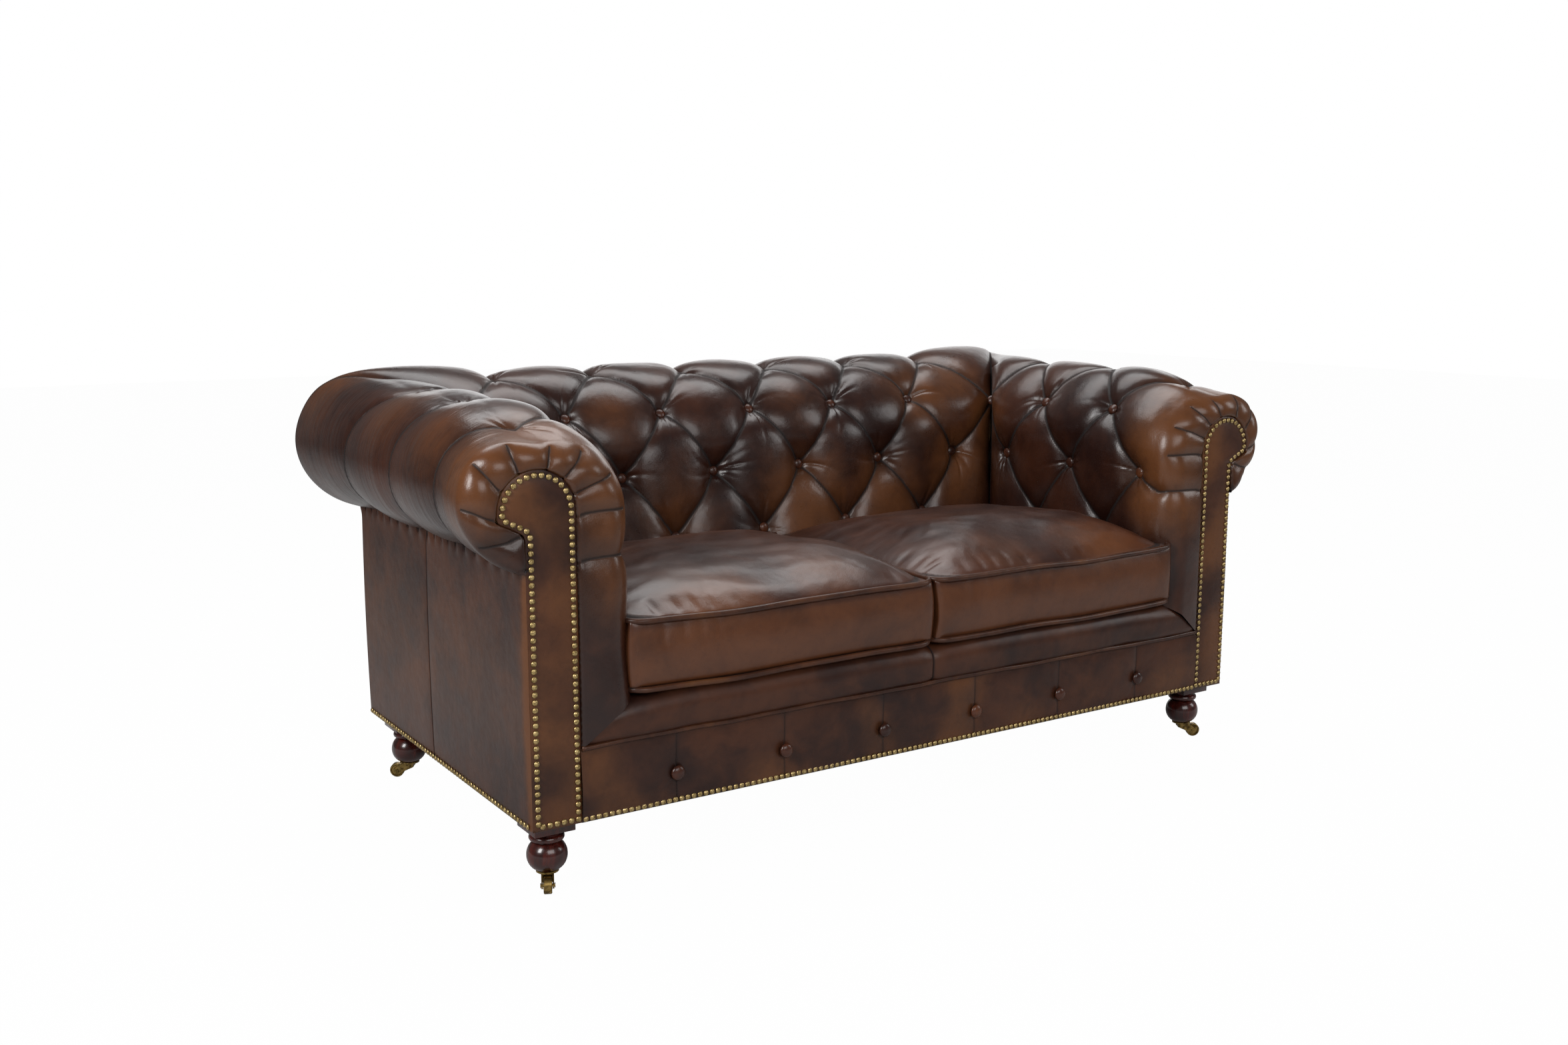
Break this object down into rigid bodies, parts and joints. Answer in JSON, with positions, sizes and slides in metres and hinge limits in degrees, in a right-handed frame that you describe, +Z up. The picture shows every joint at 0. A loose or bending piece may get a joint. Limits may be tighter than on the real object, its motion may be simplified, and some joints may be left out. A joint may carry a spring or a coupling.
{
  "type": "chesterfield sofa",
  "caption": "Chesterfield sofa with deep-buttoned rolled arms and back of one height, nailed scroll facings, loose seat cushions and turned feet on castors.",
  "frame": {"origin": "on the floor, below the middle of the sofa's overall box", "axes": "+X to the right as seen from the front, -Y towards the front, +Z up"},
  "size_m": [1.798, 0.906, 0.792],
  "materials": {
    "tufted_leather": "satin",
    "cushion_leather": "satin",
    "panel_leather": "satin",
    "welt_leather": "satin",
    "button_leather": "satin",
    "frame_timber": "matte",
    "foot_mahogany": "gloss",
    "foam_and_hessian": "matte",
    "dust_cloth": "matte",
    "spring_steel": "satin",
    "nail_brass": "satin",
    "castor_brass": "satin"
  },
  "bodies": {
    "sofa": {"arm_buttons_left": "button_leather", "arm_buttons_right": "button_leather", "arm_posts_left": "frame_timber", "arm_posts_right": "frame_timber", "arm_rail_left": "frame_timber", "arm_rail_right": "frame_timber", "arm_upholstery_left": "tufted_leather", "arm_upholstery_right": "tufted_leather", "back_buttons": "button_leather", "back_posts": "frame_timber", "back_top_rail": "frame_timber", "back_upholstery": "tufted_leather", "base_nails": "nail_brass", "border_buttons": "button_leather", "border_welt": "welt_leather", "castor_plates": "castor_brass", "centre_stretcher": "frame_timber", "corner_blocks": "frame_timber", "deck_pad": "foam_and_hessian", "dust_cover": "dust_cloth", "facing_board_left": "frame_timber", "facing_board_right": "frame_timber", "facing_left": "tufted_leather", "facing_nails_left": "nail_brass", "facing_nails_right": "nail_brass", "facing_right": "tufted_leather", "foot_bolts": "spring_steel", "foot_front_left": "foot_mahogany", "foot_front_right": "foot_mahogany", "foot_rear_left": "foot_mahogany", "foot_rear_right": "foot_mahogany", "front_border": "tufted_leather", "front_rail": "frame_timber", "outside_arm_left": "panel_leather", "outside_arm_right": "panel_leather", "outside_back": "panel_leather", "rear_rail": "frame_timber", "seat_lip": "tufted_leather", "seat_springs": "spring_steel", "side_rail_left": "frame_timber", "side_rail_right": "frame_timber", "spring_clips": "spring_steel"},
    "cushion_left": {"cushion_cover_left": "cushion_leather", "cushion_core_left": "foam_and_hessian"},
    "cushion_right": {"cushion_cover_right": "cushion_leather", "cushion_core_right": "foam_and_hessian"},
    "castor_front_left": {"castor_horn_front_left": "castor_brass", "castor_axle_front_left": "castor_brass"},
    "wheel_front_left": {"castor_wheel_front_left": "castor_brass"},
    "castor_front_right": {"castor_horn_front_right": "castor_brass", "castor_axle_front_right": "castor_brass"},
    "wheel_front_right": {"castor_wheel_front_right": "castor_brass"},
    "castor_rear_left": {"castor_horn_rear_left": "castor_brass", "castor_axle_rear_left": "castor_brass"},
    "wheel_rear_left": {"castor_wheel_rear_left": "castor_brass"},
    "castor_rear_right": {"castor_horn_rear_right": "castor_brass", "castor_axle_rear_right": "castor_brass"},
    "wheel_rear_right": {"castor_wheel_rear_right": "castor_brass"}
  },
  "joints": [
    {"name": "cushion_left_slide", "type": "slide", "parent": "sofa", "child": "cushion_left", "axis": [0, -1, 0], "range_m": [0, 0.3]},
    {"name": "cushion_right_slide", "type": "slide", "parent": "sofa", "child": "cushion_right", "axis": [0, -1, 0], "range_m": [0, 0.3]},
    {"name": "castor_front_left_swivel", "type": "hinge", "parent": "sofa", "child": "castor_front_left", "pos_m": [-0.751, -0.381, 0.025], "axis": [0, 0, 1], "continuous": true},
    {"name": "wheel_front_left_roll", "type": "hinge", "parent": "castor_front_left", "child": "wheel_front_left", "pos_m": [-0.76117, -0.40384, 0.014], "axis": [0.9135, -0.4067, 0], "continuous": true},
    {"name": "castor_front_right_swivel", "type": "hinge", "parent": "sofa", "child": "castor_front_right", "pos_m": [0.751, -0.381, 0.025], "axis": [0, 0, 1], "continuous": true},
    {"name": "wheel_front_right_roll", "type": "hinge", "parent": "castor_front_right", "child": "wheel_front_right", "pos_m": [0.77197, -0.39462, 0.014], "axis": [0.5446, 0.8387, 0], "continuous": true},
    {"name": "castor_rear_left_swivel", "type": "hinge", "parent": "sofa", "child": "castor_rear_left", "pos_m": [-0.751, 0.281, 0.025], "axis": [0, 0, 1], "continuous": true},
    {"name": "wheel_rear_left_roll", "type": "hinge", "parent": "castor_rear_left", "child": "wheel_rear_left", "pos_m": [-0.77197, 0.29462, 0.014], "axis": [-0.5446, -0.8387, 0], "continuous": true},
    {"name": "castor_rear_right_swivel", "type": "hinge", "parent": "sofa", "child": "castor_rear_right", "pos_m": [0.751, 0.281, 0.025], "axis": [0, 0, 1], "continuous": true},
    {"name": "wheel_rear_right_roll", "type": "hinge", "parent": "castor_rear_right", "child": "wheel_rear_right", "pos_m": [0.7635, 0.30265, 0.014], "axis": [-0.866, 0.5, 0], "continuous": true}
  ]
}
